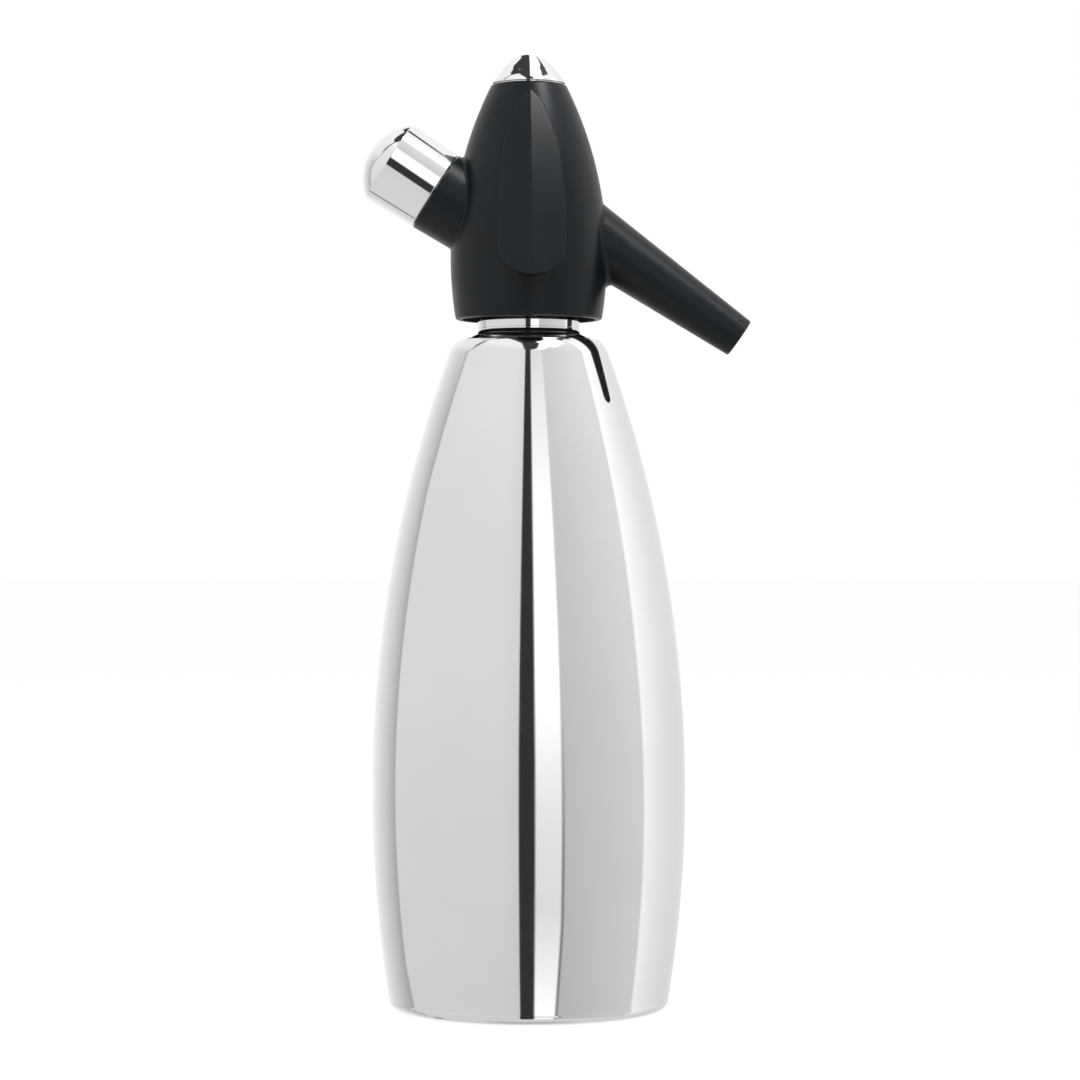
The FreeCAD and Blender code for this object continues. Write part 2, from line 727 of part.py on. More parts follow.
def stem_oring():
    """O-ring between the gland nut and the valve chamber."""
    thickness = 0.9
    ring = Part.makeTorus(STEM_R + STEM_CLEARANCE + thickness, thickness)
    ring.translate(at(0, VALVE_FRONT_Y + GLAND + thickness))
    return on_valve_axis(ring)


def valve_stem():
    """Stem with a rounded front end, a valve head and a spigot that guides the spring."""
    nose_end = STEM_FRONT_Y + 1.0
    head_start = VALVE_SEAT_Y + VALVE_SEAT_THICK + VALVE_SEAL
    head_end = head_start + 1.2
    spigot_r, spigot_end = 1.8, head_start + 3.0
    edges = [
        arc(at(0, STEM_FRONT_Y), at(STEM_R * 0.72, STEM_FRONT_Y + 0.3), at(STEM_R, nose_end)),
        line(at(STEM_R, nose_end), at(STEM_R, head_start)),
        line(at(STEM_R, head_start), at(VALVE_HEAD_R, head_start)),
        line(at(VALVE_HEAD_R, head_start), at(VALVE_HEAD_R, head_end)),
        line(at(VALVE_HEAD_R, head_end), at(spigot_r, head_end)),
        line(at(spigot_r, head_end), at(spigot_r, spigot_end)),
        line(at(spigot_r, spigot_end), at(0, spigot_end)),
        line(at(0, spigot_end), at(0, STEM_FRONT_Y)),
    ]
    return on_valve_axis(turned(edges))


def valve_seal():
    start = VALVE_SEAT_Y + VALVE_SEAT_THICK
    return on_valve_axis(pipe(STEM_R, VALVE_HEAD_R + 0.4, start + 0.02, start + VALVE_SEAL))


def valve_spring():
    """Compression spring that closes the valve and returns the lever."""
    wire, mean_radius, turns = 0.35, 2.6, 4
    start = VALVE_SEAT_Y + VALVE_SEAT_THICK + VALVE_SEAL + 1.25 + wire
    length = VALVE_REAR_Y - REAR_PLUG - 0.1 - wire - start
    helix = Part.makeHelix(length / turns, length, mean_radius)
    corners = regular_corners(wire, 8)
    section = Part.Wire(outline([at(mean_radius + corner.x, corner.y) for corner in corners]))
    spring = Part.Wire(helix.Edges).makePipeShell([section], True, True)
    spring.translate(at(0, start))
    return on_valve_axis(spring)


def rear_plug():
    """Screwed plug behind the spring, with a hexagon socket."""
    start = VALVE_REAR_Y - REAR_PLUG
    socket = hexagon(2.0, start + 1.4, VALVE_REAR_Y + 1)
    return on_valve_axis(rod(VALVE_CHAMBER_R, start, VALVE_REAR_Y).cut(socket))


# ---- Lever -----------------------------------------------------------------------------
def leaf_prism():
    """The leaf outline, pointed at the top and a shallow arc at the bottom."""
    side = [FreeCAD.Vector(x, LEAF_FRONT_Y, z) for x, z in LEAF_SIDE]
    mirrored = [FreeCAD.Vector(-x, LEAF_FRONT_Y, z) for x, z in LEAF_SIDE]
    bottom = FreeCAD.Vector(0, LEAF_FRONT_Y, LEAF_BOTTOM_Z)
    edges = [curve(side), arc(side[-1], bottom, mirrored[-1]), curve(mirrored)]
    wire = Part.Wire(Part.__sortEdges__(edges))
    return Part.Face(wire).extrude(FreeCAD.Vector(0, -LEAF_FRONT_Y, 0))


def skirt_prism(inset, bottom):
    """The leaf without its tip, its sides drawn in by an inset and cut off straight at the bottom."""
    side = []
    for i in range(2, len(LEAF_SIDE)):
        before, here, after = LEAF_SIDE[i - 1], LEAF_SIDE[i], LEAF_SIDE[min(i + 1, len(LEAF_SIDE) - 1)]
        run_x, run_z = after[0] - before[0], after[1] - before[1]
        share = inset / math.hypot(run_x, run_z)
        side.append(FreeCAD.Vector(here[0] + share * run_z, LEAF_FRONT_Y, here[1] - share * run_x))
    mirrored = [FreeCAD.Vector(-point.x, point.y, point.z) for point in side]
    edges = [
        curve(side),
        line(side[-1], mirrored[-1]),
        curve(mirrored),
        line(mirrored[0], side[0]),
    ]
    face = Part.Face(Part.Wire(Part.__sortEdges__(edges)))
    prism = face.extrude(FreeCAD.Vector(0, -LEAF_FRONT_Y, 0))
    return prism.cut(block((-20, LEAF_FRONT_Y - 1, bottom - 20), (20, 1, bottom)))


def roof(half_width=14.0):
    """Two slanting halves that meet in the ridge, each swept aslant from the ridge line."""
    top, middle, bottom = (FreeCAD.Vector(0, y, z) for y, z in (RIDGE_TOP, RIDGE_MIDDLE, RIDGE_BOTTOM))
    back_top = FreeCAD.Vector(0, 5, RIDGE_TOP[1])
    back_bottom = FreeCAD.Vector(0, 5, RIDGE_BOTTOM[1])
    edges = [
        arc(top, middle, bottom),
        line(bottom, back_bottom),
        line(back_bottom, back_top),
        line(back_top, top),
    ]
    face = Part.Face(Part.Wire(edges))
    halves = [
        face.extrude(FreeCAD.Vector(side * half_width, ROOF_SLOPE * half_width, 0)) for side in (-1, 1)
    ]
    return halves[0].fuse(halves[1])


def slab(half_width, points):
    """A plate across X, from its outline as (Y, Z)."""
    corners = [FreeCAD.Vector(-half_width, y, z) for y, z in points]
    face = Part.Face(Part.makePolygon(corners + [corners[0]]))
    return face.extrude(FreeCAD.Vector(2 * half_width, 0, 0))


def across(radius, half_width, y, z):
    """A cylinder along X."""
    return rod_between(radius, FreeCAD.Vector(-half_width, y, z), FreeCAD.Vector(half_width, y, z))


def lever_back():
    """Ears round the pin, the arm through the slot and the rib that pushes the stem."""
    top = PIN_Z + EAR_R
    nose_y = STEM_FRONT_Y - 0.1 - NOSE_R
    arm = [
        (PIN_Y, top),
        (-16.5, top),
        (-19.5, PIN_Z - 7),
        (-13.0, PIN_Z - 7),
        (-10.8, PIN_Z - 3),
        (PIN_Y, PIN_Z - EAR_R),
    ]
    rib = [
        (-12.0, PIN_Z - 4),
        (-12.2, VALVE_Z + 10),
        (nose_y, VALVE_Z + NOSE_R),
        (nose_y, VALVE_Z - NOSE_R),
        (-24.5, VALVE_Z - 4),
        (-19.0, PIN_Z - 4),
    ]
    return [
        across(EAR_R, EAR_HALF_WIDTH, PIN_Y, PIN_Z),
        across(NOSE_R, RIB_HALF_WIDTH, nose_y, VALVE_Z),
        slab(EAR_HALF_WIDTH, arm),
        slab(RIB_HALF_WIDTH, rib),
    ]


def lever_skirt(blade_cut):
    """Wall that closes the gap between blade and head, from the blade back into the pocket."""
    outside = skirt_prism(SKIRT_INSET, SKIRT_BOTTOM_Z)
    inside = skirt_prism(SKIRT_INSET + SKIRT_WALL, SKIRT_BOTTOM_Z + SKIRT_WALL)
    top, bottom = SKIRT_BACK[-1][1], SKIRT_BACK[0][1]
    front = slab(20, SKIRT_BACK + [(LEAF_FRONT_Y, top), (LEAF_FRONT_Y, bottom)])
    return outside.cut(inside).common(front).common(roof()).common(blade_cut)


def lever():
    """Leaf-shaped blade that follows the barrel when pressed, with skirt, hinge and rib behind."""
    pin_point = FreeCAD.Vector(0, PIN_Y, PIN_Z)
    pressed_barrel = barrel(LEVER_GAP, rounded=False)
    pressed_barrel.rotate(pin_point, X, -LEVER_PRESS)
    blade = roof().common(leaf_prism()).cut(pressed_barrel).cut(barrel(LEVER_GAP, rounded=False))
    blade = max(blade.Solids, key=lambda solid: solid.Volume)
    front = Part.Shell(roof().Faces)
    rims = []
    for edge in blade.Edges:
        middle = edge.valueAt((edge.FirstParameter + edge.LastParameter) / 2)
        if abs(middle.x) > 0.3 and front.distToShape(Part.Vertex(middle))[0] < 0.01:
            rims.append(edge)
    blade = blade.makeFillet(BLADE_EDGE_ROUND, rims)
    body = fused([blade, lever_skirt(pressed_barrel)] + lever_back())
    bore = rod_between(
        PIN_R + PIN_CLEARANCE, FreeCAD.Vector(-10, PIN_Y, PIN_Z), FreeCAD.Vector(10, PIN_Y, PIN_Z)
    )
    return body.cut(bore)


def lever_pin():
    return rod_between(
        PIN_R,
        FreeCAD.Vector(-PIN_HALF_LENGTH, PIN_Y, PIN_Z),
        FreeCAD.Vector(PIN_HALF_LENGTH, PIN_Y, PIN_Z),
    )


def pin_keeper():
    """Plate under the core screw, with two tabs that hold the lever pin down."""
    body = pipe(SCREW_CLEARANCE_R, RECESS_R - 0.3, LAND_TOP_Z, LAND_TOP_Z + KEEPER)
    near, far, half_depth = 4.7, 6.9, 1.2
    for start in (-far, near):
        tab = block(
            (start, PIN_Y - half_depth, PIN_Z + PIN_R),
            (start + far - near, PIN_Y + half_depth, LAND_TOP_Z + KEEPER / 2),
        )
        body = body.fuse(tab)
    return body.removeSplitter()


# ---- Top ---------------------------------------------------------------------------------
def screw_washer():
    start = LAND_TOP_Z + KEEPER
    return pipe(SCREW_CLEARANCE_R, WASHER_R, start, start + WASHER)


def core_screw():
    """Pan-head screw with a cross recess that pulls the core up against the housing."""
    under_head = LAND_TOP_Z + KEEPER + WASHER
    top = under_head + SCREW_HEAD
    head = rod(SCREW_HEAD_R, under_head, top)
    rim = [edge for edge in head.Edges if edge.BoundBox.ZMin > top - 0.1]
    screw = fused([rod(SCREW_R, SCREW_TIP_Z, under_head), head.makeFillet(SCREW_HEAD / 3, rim)])
    slot_length, slot_width, slot_floor = SCREW_HEAD_R * 0.63, 0.5, under_head + 1.0
    for half_x, half_y in ((slot_length, slot_width), (slot_width, slot_length)):
        screw = screw.cut(block((-half_x, -half_y, slot_floor), (half_x, half_y, top + 1)))
    return screw


def decor_cap():
    """Chromed dome, slightly pointed, with a spigot that snaps into the head's recess."""
    spigot_r = RECESS_R - 0.1
    lip_r = spigot_r + CAP_LIP
    outer = [at(CAP_R, CAP_BASE_Z)] + [at(*point) for point in CAP_SIDE] + [at(0, CAP_APEX_Z)]
    inner = [at(*point) for point in CAP_INNER_SIDE] + [at(0, CAP_APEX_Z - CAP_WALL)]
    bore_r = inner[0].x
    edges = [
        curve(outer, at(-0.35, 1), at(-1, 0)),
        line(outer[-1], inner[-1]),
        *bands(curve(inner[::-1], at(1, 0), at(0.5, -1))),
        line(inner[0], at(bore_r, CAP_SPIGOT_BOTTOM_Z)),
        line(at(bore_r, CAP_SPIGOT_BOTTOM_Z), at(spigot_r, CAP_SPIGOT_BOTTOM_Z)),
        line(at(spigot_r, CAP_SPIGOT_BOTTOM_Z), at(spigot_r, HEAD_TOP_Z)),
        line(at(spigot_r, HEAD_TOP_Z), at(lip_r, HEAD_TOP_Z)),
        line(at(lip_r, HEAD_TOP_Z), at(lip_r, CAP_BASE_Z)),
        line(at(lip_r, CAP_BASE_Z), outer[0]),
    ]
    return turned(edges)


# ---- Charger and its holder ---------------------------------------------------------------
def gas_charger():
    """Steel flask with a round base, a sloping shoulder and a pierced neck."""
    r, wall = CHARGER_R, CHARGER_WALL
    neck, tip = CHARGER_NECK_R, CHARGER_TIP
    edges = [
        dome(CHARGER_BASE, r, CHARGER_BASE - r),
        line(at(r, CHARGER_BASE - r), at(r, CHARGER_SHOULDER)),
        curve(
            [at(r, CHARGER_SHOULDER), at(7.4, 6.6), at(neck, CHARGER_NECK)],
            at(0, -1),
            at(-0.4, -1),
        ),
        line(at(neck, CHARGER_NECK), at(neck, tip)),
        line(at(neck, tip), at(PIERCED_R, tip)),
        line(at(PIERCED_R, tip), at(PIERCED_R, tip + 2)),
        line(at(PIERCED_R, tip + 2), at(neck - 1.4, tip + 2)),
        line(at(neck - 1.4, tip + 2), at(neck - 1.4, CHARGER_NECK + 0.6)),
        line(at(neck - 1.4, CHARGER_NECK + 0.6), at(r - wall, CHARGER_SHOULDER + 1)),
        line(at(r - wall, CHARGER_SHOULDER + 1), at(r - wall, CHARGER_BASE - r)),
        dome(CHARGER_BASE - wall, r - wall, CHARGER_BASE - r),
        line(at(0, CHARGER_BASE - wall), at(0, CHARGER_BASE)),
    ]
    return on_charger_axis(turned(edges))


def charger_cushion():
    """Rubber pad between the charger's base and the holder's dome."""
    pad_r, apex = 4.5, HOLDER_APEX - HOLDER_WALL - 0.05
    rim_z = dome_height(pad_r, apex, HOLDER_EDGE_R - HOLDER_WALL, HOLDER_EDGE) - 0.05
    flat_z = CHARGER_BASE + 0.05
    edges = [
        line(at(0, flat_z), at(pad_r, flat_z)),
        line(at(pad_r, flat_z), at(pad_r, rim_z)),
        dome(apex, pad_r, rim_z),
        line(at(0, apex), at(0, flat_z)),
    ]
    return on_charger_axis(turned(edges))


def holder_cap():
    """Chromed cap: a slightly flared skirt and a low dome with a sharp edge between them."""
    wall = HOLDER_WALL
    inner_edge_r = HOLDER_EDGE_R - wall
    inner_apex = HOLDER_APEX - wall

    edges = [
        line(at(HOLDER_START_R - wall, HOLDER_START), at(HOLDER_START_R, HOLDER_START)),
        line(at(HOLDER_START_R, HOLDER_START), at(HOLDER_EDGE_R, HOLDER_EDGE)),
        dome(HOLDER_APEX, HOLDER_EDGE_R, HOLDER_EDGE),
        line(at(0, HOLDER_APEX), at(0, inner_apex)),
        dome(inner_apex, inner_edge_r, HOLDER_EDGE),
        line(at(inner_edge_r, HOLDER_EDGE), at(HOLDER_START_R - wall, HOLDER_START)),
    ]
    return on_charger_axis(turned(edges))


def cap_bore_radius(distance):
    """Inner radius of the cap's skirt at a distance along the axis."""
    share = (distance - HOLDER_START) / (HOLDER_EDGE - HOLDER_START)
    return HOLDER_START_R - HOLDER_WALL + share * (HOLDER_EDGE_R - HOLDER_START_R)


def holder_sleeve():
    """Sleeve that holds the charger and screws into the socket, held in the cap by two flanges."""
    low, high = HOLDER_START + 0.4, SLEEVE_END - SLEEVE_FLANGE
    profile = [
        (SLEEVE_BORE_R, SLEEVE_START),
        (SLEEVE_R - 0.4, SLEEVE_START),
        (SLEEVE_R, SLEEVE_START + 0.6),
        (SLEEVE_R, low),
        (cap_bore_radius(low), low),
        (cap_bore_radius(low + SLEEVE_FLANGE), low + SLEEVE_FLANGE),
        (SLEEVE_R, low + SLEEVE_FLANGE),
        (SLEEVE_R, high),
        (cap_bore_radius(high), high),
        (cap_bore_radius(SLEEVE_END), SLEEVE_END),
        (SLEEVE_BORE_R, SLEEVE_END),
    ]
    return on_charger_axis(turned_points(profile))


PIECES = {
    "bottle_shell": bottle_shell,
    "base_plate": base_plate,
    "neck_ring": neck_ring,
    "measuring_tube": measuring_tube,
    "riser_tube": riser_tube,
    "riser_seal": riser_seal,
    "head_gasket": head_gasket,
    "head_housing": head_housing,
    "neck_nut": neck_nut,
    "valve_core": valve_core,
    "charger_socket": charger_socket,
    "piercing_pin": piercing_pin,
    "charger_seal": charger_seal,
    "gas_check_sleeve": gas_check_sleeve,
    "gland_nut": gland_nut,
    "stem_oring": stem_oring,
    "rear_plug": rear_plug,
    "spout_liner": spout_liner,
    "lever_pin": lever_pin,
    "pin_keeper": pin_keeper,
    "core_screw": core_screw,
    "screw_washer": screw_washer,
    "decor_cap": decor_cap,
    "lever": lever,
    "valve_stem": valve_stem,
    "valve_seal": valve_seal,
    "valve_spring": valve_spring,
    "gas_charger": gas_charger,
    "charger_cushion": charger_cushion,
    "holder_cap": holder_cap,
    "holder_sleeve": holder_sleeve,
}

os.makedirs("parts", exist_ok=True)
for name, make in PIECES.items():
    shape = make()
    if not shape.isValid() or len(shape.Solids) != 1:
        print(name, "valid:", shape.isValid(), "solids:", len(shape.Solids))
    shape.exportStep(f"parts/{name}.step")
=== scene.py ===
import json
import math

import bpy
from mathutils import Matrix, Vector


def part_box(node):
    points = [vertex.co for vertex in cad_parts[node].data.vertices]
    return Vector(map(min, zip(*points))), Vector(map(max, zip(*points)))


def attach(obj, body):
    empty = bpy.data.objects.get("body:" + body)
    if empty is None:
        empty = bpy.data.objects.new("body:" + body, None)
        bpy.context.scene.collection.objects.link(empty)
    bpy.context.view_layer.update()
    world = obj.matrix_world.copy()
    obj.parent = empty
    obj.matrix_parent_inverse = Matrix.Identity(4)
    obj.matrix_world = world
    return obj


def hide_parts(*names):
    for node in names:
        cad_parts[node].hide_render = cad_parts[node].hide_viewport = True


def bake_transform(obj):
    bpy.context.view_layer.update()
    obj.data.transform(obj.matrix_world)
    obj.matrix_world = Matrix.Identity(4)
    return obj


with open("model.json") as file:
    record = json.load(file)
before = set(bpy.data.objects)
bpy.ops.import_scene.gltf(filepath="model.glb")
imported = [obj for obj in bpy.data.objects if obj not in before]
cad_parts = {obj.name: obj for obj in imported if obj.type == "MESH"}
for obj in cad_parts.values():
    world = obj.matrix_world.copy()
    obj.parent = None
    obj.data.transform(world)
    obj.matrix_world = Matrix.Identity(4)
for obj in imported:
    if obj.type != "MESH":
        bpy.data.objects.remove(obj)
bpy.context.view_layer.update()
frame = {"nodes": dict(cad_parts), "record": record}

# Soda siphon, one litre. Lengths below are in millimetres and are turned into metres
# where a mesh is made. The bottle stands on z = 0, spout to +X, lever to -Y.

MM = 0.001
ROUND = 192                 # segments round a large turned piece

# ---- Sizes -----------------------------------------------------------------------
# They are those of the solids, but the shoulder and the cove follow the photograph more closely.
BOTTLE_R, WIDEST_Z, SIDE_ARC_R = 50.1, 69.0, 410.0
FOOT_R, FOOT_INNER_R, FOOT_ROUND_Z = 42.0, 39.5, 3.0
SIDE_TOP_Z = 211.5
SHOULDER_START_Z, SHOULDER_R, SHOULDER_Z = 208.3, 22.34, 213.1
COVE_R, COVE_Z = 17.68, 214.61
COLLAR_R, COLLAR_START_Z, COLLAR_SEAM_Z, COLLAR_TOP_Z = 16.3, 216.51, 216.6, 219.6
SPIGOT_LEDGE_R, SPIGOT_BOTTOM_Z = 21.4, 212.4
NECK_CORE_R, NECK_BORE_R, NECK_TOP_Z = 15.0, 13.0, 226.6
STEEL = 1.0                    # wall of the bottle
NECK_PITCH, NECK_THREAD_DEPTH, NUT_THREAD_DEPTH = 2.4, 0.8, 0.7
NUT_BORE_R, NUT_START_Z, NUT_TOP_Z, SKIRT_BORE_R = 16.9, 221.9, 229.85, 21.4
NUT_CHAMFER = 0.8
CAP_R, CAP_BASE_Z, CAP_APEX_Z = 11.9, 294.9, 304.6
CAP_SPIGOT_R, CAP_SPIGOT_Z = 10.4, 289.4
HEAD_TOP_Z = 294.5
VALVE_Z, SPRING_R, SPRING_WIRE = 263.0, 2.6, 0.35
CHARGER_ORIGIN = Vector((0.0, 0.0, 241.1))
CHARGER_TILT = math.radians(33.2)
CHARGER_AXIS = Vector((-math.cos(CHARGER_TILT), 0.0, math.sin(CHARGER_TILT)))
HOLDER_START, HOLDER_START_R = 35.6, 13.5
HOLDER_EDGE, HOLDER_EDGE_R, HOLDER_APEX, HOLDER_WALL = 52.9, 14.1, 60.0, 1.2
SLEEVE_R, SOCKET_BORE_R, SOCKET_R = 10.2, 10.6, 11.5
SOCKET_START, SOCKET_END = 9.0, 34.0
HOLDER_PITCH, SLEEVE_THREAD_DEPTH, SOCKET_THREAD_DEPTH = 1.6, 0.16, 0.14
CREASE = math.radians(30.0)    # a mesh is smooth across edges less bent than this


# ---- Profiles --------------------------------------------------------------------
def arc(start, middle, end, count):
    """Points of the circle through three (radius, height) points, the start left out."""
    (ax, ay), (bx, by), (cx, cy) = start, middle, end
    d = 2 * (ax * (by - cy) + bx * (cy - ay) + cx * (ay - by))
    a2, b2, c2 = ax * ax + ay * ay, bx * bx + by * by, cx * cx + cy * cy
    ux = (a2 * (by - cy) + b2 * (cy - ay) + c2 * (ay - by)) / d
    uy = (a2 * (cx - bx) + b2 * (ax - cx) + c2 * (bx - ax)) / d
    radius = math.hypot(ax - ux, ay - uy)
    first = math.atan2(ay - uy, ax - ux)
    last = math.atan2(cy - uy, cx - ux)
    via = math.atan2(by - uy, bx - ux)
    turn = (last - first) % (2 * math.pi)
    if (via - first) % (2 * math.pi) > turn:
        turn -= 2 * math.pi
    angles = [first + turn * i / count for i in range(1, count + 1)]
    return [(ux + radius * math.cos(a), uy + radius * math.sin(a)) for a in angles]


def smooth_line(points, start_slope, end_slope, count):
    """Points of a smooth curve through a few (radius, height) points, the start left out."""
    slopes = [start_slope]
    for before, after in zip(points, points[2:]):
        slopes.append(((after[0] - before[0]) / 2, (after[1] - before[1]) / 2))
    slopes.append(end_slope)
    result = []
    for i in range(len(points) - 1):
        p, q, m, n = points[i], points[i + 1], slopes[i], slopes[i + 1]
        for k in range(1, count + 1):
            t = k / count
            h = (2 * t**3 - 3 * t**2 + 1, t**3 - 2 * t**2 + t, -2 * t**3 + 3 * t**2, t**3 - t**2)
            result.append(tuple(
                h[0] * p[j] + h[1] * m[j] + h[2] * q[j] + h[3] * n[j] for j in (0, 1)
            ))
    return result


def eased(profile, radius=0.12, steps=4):
    """A closed profile with a small round at each corner. A third number on a point sets its
    own radius. Points beside each round hold the sides' shading straight."""
    result = []
    for i, point in enumerate(profile):
        here = Vector(point[:2])
        to_last = Vector(profile[i - 1][:2]) - here
        to_next = Vector(profile[(i + 1) % len(profile)][:2]) - here
        turn = math.pi - to_last.angle(to_next)
        if here.x < 1e-6 or turn < math.radians(6.0):
            result.append(tuple(here))
            continue
        wanted = (point[2] if len(point) > 2 else radius) * math.tan(turn / 2)
        cut = min(wanted, to_last.length / 3, to_next.length / 3)
        start, end = here + cut * to_last.normalized(), here + cut * to_next.normalized()
        if to_last.length > 4 * cut + 0.2:
            result.append(tuple(start + 0.1 * to_last.normalized()))
        bend = (to_last.normalized() + to_next.normalized()).normalized()
        centre = here + bend * cut / math.tan(turn / 2) / math.cos(turn / 2)
        spoke, last = start - centre, end - centre
        sense = 1.0 if spoke.x * last.y - spoke.y * last.x > 0 else -1.0
        for k in range(steps + 1):
            angle = sense * turn * k / steps
            x = spoke.x * math.cos(angle) - spoke.y * math.sin(angle)
            y = spoke.x * math.sin(angle) + spoke.y * math.cos(angle)
            result.append((centre.x + x, centre.y + y))
        if to_next.length > 4 * cut + 0.2:
            result.append(tuple(end + 0.1 * to_next.normalized()))
    return result


def bottle_radius(height):
    fall = SIDE_ARC_R - math.sqrt(SIDE_ARC_R**2 - (height - WIDEST_Z) ** 2)
    return BOTTLE_R - fall


# ---- Meshes ----------------------------------------------------------------------
def add_mesh(name, verts, faces, slot):
    """A smooth mesh with sharp creases, in metres."""
    mesh = bpy.data.meshes.new(name)
    mesh.from_pydata([tuple(c * MM for c in v) for v in verts], [], faces)
    mesh.polygons.foreach_set("use_smooth", [True] * len(mesh.polygons))
    mesh.set_sharp_from_angle(angle=CREASE)
    mesh.materials.append(LOOKS[slot])
    mesh.validate()
    mesh.update()
    piece = bpy.data.objects.new(name, mesh)
    bpy.context.scene.collection.objects.link(piece)
    return piece


def add_object(name, verts, faces, body, slot):
    """A mesh that moves with a body."""
    piece = add_mesh(name, verts, faces, slot)
    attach(piece, body)
    return piece


def turned_mesh(profile, segments=ROUND, place=None):
    """Vertices and faces turned about Z from a closed (radius, height) profile, which runs
    anticlockwise with radius to the right and height up, then put on an axis."""
    verts, rings = [], []
    for radius, height in profile:
        if radius < 1e-6:
            rings.append([len(verts)] * segments)
            verts.append(Vector((0.0, 0.0, height)))
            continue
        rings.append(list(range(len(verts), len(verts) + segments)))
        for i in range(segments):
            angle = 2 * math.pi * i / segments
            verts.append(Vector((radius * math.cos(angle), radius * math.sin(angle), height)))
    faces = []
    for low, high in zip(rings, rings[1:] + rings[:1]):
        for i in range(segments):
            j = (i + 1) % segments
            corners = []
            for v in (low[i], low[j], high[j], high[i]):
                if v not in corners:
                    corners.append(v)
            if len(corners) > 2:
                faces.append(corners)
    if place is not None:
        verts = [place @ v for v in verts]
    return verts, faces


def along(origin, axis):
    """Transform that lays what was built along Z on another axis."""
    turn = Vector((0, 0, 1)).rotation_difference(axis)
    return Matrix.Translation(origin) @ turn.to_matrix().to_4x4()


ON_CHARGER = along(CHARGER_ORIGIN, CHARGER_AXIS)


def thread_mesh(root, crest, start, end, pitch, segments=72, place=None):
    """A helical ridge from root to crest radius that runs out softly at both ends."""
    turns = (end - start) / pitch - 1.0
    steps = int(turns * segments)
    rise = pitch / segments
    outward = crest > root
    foot = root - 0.12 if outward else root + 0.12
    run_out = segments * 0.4
    verts, faces = [], []
    for i in range(steps + 1):
        angle = 2 * math.pi * i / segments
        fade = min(1.0, i / run_out, (steps - i) / run_out)
        fade = fade * fade * (3 - 2 * fade)
        top = root + (crest - root) * fade
        middle = start + pitch / 2 + rise * i
        for radius, offset in ((foot, -0.42), (top, -0.12), (top, 0.12), (foot, 0.42)):
            height = middle + offset * pitch
            verts.append(Vector((radius * math.cos(angle), radius * math.sin(angle), height)))
    for i in range(steps):
        for k in range(4):
            a, b = 4 * i + k, 4 * i + (k + 1) % 4
            faces.append([a, b, b + 4, a + 4] if outward else [a, a + 4, b + 4, b])
    faces.append([3, 2, 1, 0] if outward else [0, 1, 2, 3])
    last = 4 * steps
    faces.append([last + k for k in (range(4) if outward else range(3, -1, -1))])
    if place is not None:
        verts = [place @ v for v in verts]
    return verts, faces


def joined(*meshes):
    verts, faces = [], []
    for more_verts, more_faces in meshes:
        shift = len(verts)
        verts += more_verts
        faces += [[v + shift for v in face] for face in more_faces]
    return verts, faces


# ---- Materials -------------------------------------------------------------------
class Shader:
    """A node material round one Principled shader."""

    def __init__(self, name, **values):
        self.material = bpy.data.materials.new(name)
        self.material.use_nodes = True
        self.nodes = self.material.node_tree.nodes
        self.links = self.material.node_tree.links
        self.shader = self.nodes["Principled BSDF"]
        self.coords = self.nodes.new("ShaderNodeTexCoord")
        for key, value in values.items():
            self.shader.inputs[key.replace("_", " ")].default_value = value

    def noise(self, scale, detail=3.0, stretch=(1.0, 1.0, 1.0)):
        mapping = self.nodes.new("ShaderNodeMapping")
        mapping.inputs["Scale"].default_value = stretch
        self.links.new(self.coords.outputs["Object"], mapping.inputs["Vector"])
        noise = self.nodes.new("ShaderNodeTexNoise")
        noise.inputs["Scale"].default_value = scale
        noise.inputs["Detail"].default_value = detail
        self.links.new(mapping.outputs["Vector"], noise.inputs["Vector"])
        return noise.outputs["Fac"]

    def spread(self, value, low, high, near=0.3, far=0.7):
        """Map a noise value to a range."""
        node = self.nodes.new("ShaderNodeMapRange")
        node.inputs["From Min"].default_value = near
        node.inputs["From Max"].default_value = far
        node.inputs["To Min"].default_value = low
        node.inputs["To Max"].default_value = high
        self.links.new(value, node.inputs["Value"])
        return node.outputs["Result"]

    def rough(self, value, low, high):
        self.links.new(self.spread(value, low, high), self.shader.inputs["Roughness"])
        return self

    def colour(self, value, dark, light):
        ramp = self.nodes.new("ShaderNodeValToRGB")
        ramp.color_ramp.elements[0].position = 0.3
        ramp.color_ramp.elements[1].position = 0.7
        ramp.color_ramp.elements[0].color = (*dark, 1.0)
        ramp.color_ramp.elements[1].color = (*light, 1.0)
        self.links.new(value, ramp.inputs["Fac"])
        self.links.new(ramp.outputs["Color"], self.shader.inputs["Base Color"])
        return self

    def bump(self, value, strength, distance):
        node = self.nodes.new("ShaderNodeBump")
        node.inputs["Strength"].default_value = strength
        node.inputs["Distance"].default_value = distance
        self.links.new(value, node.inputs["Height"])
        self.links.new(node.outputs["Normal"], self.shader.inputs["Normal"])
        return self


def metal(name, dark, light, rough_low, rough_high, marks=0.0):
    """Turned or polished metal: smudges in the gloss and fine marks that run round."""
    shader = Shader(name, Metallic=1.0)
    smudges = shader.noise(45.0, 4.0)
    shader.rough(smudges, rough_low, rough_high).colour(shader.noise(18.0), dark, light)
    if marks:
        shader.bump(shader.noise(1.0, 2.0, (60.0, 60.0, 5200.0)), marks, 0.00004)
    return shader.material


def plastic(name, dark, light, rough_low, rough_high, grain, depth, gloss=0.5):
    """Moulded plastic: a fine grain and slightly uneven gloss."""
    shader = Shader(name, Metallic=0.0, Specular_IOR_Level=gloss)
    shader.rough(shader.noise(120.0, 4.0), rough_low, rough_high)
    shader.colour(shader.noise(60.0), dark, light)
    return shader.bump(shader.noise(grain, 2.0), depth, 0.00005).material


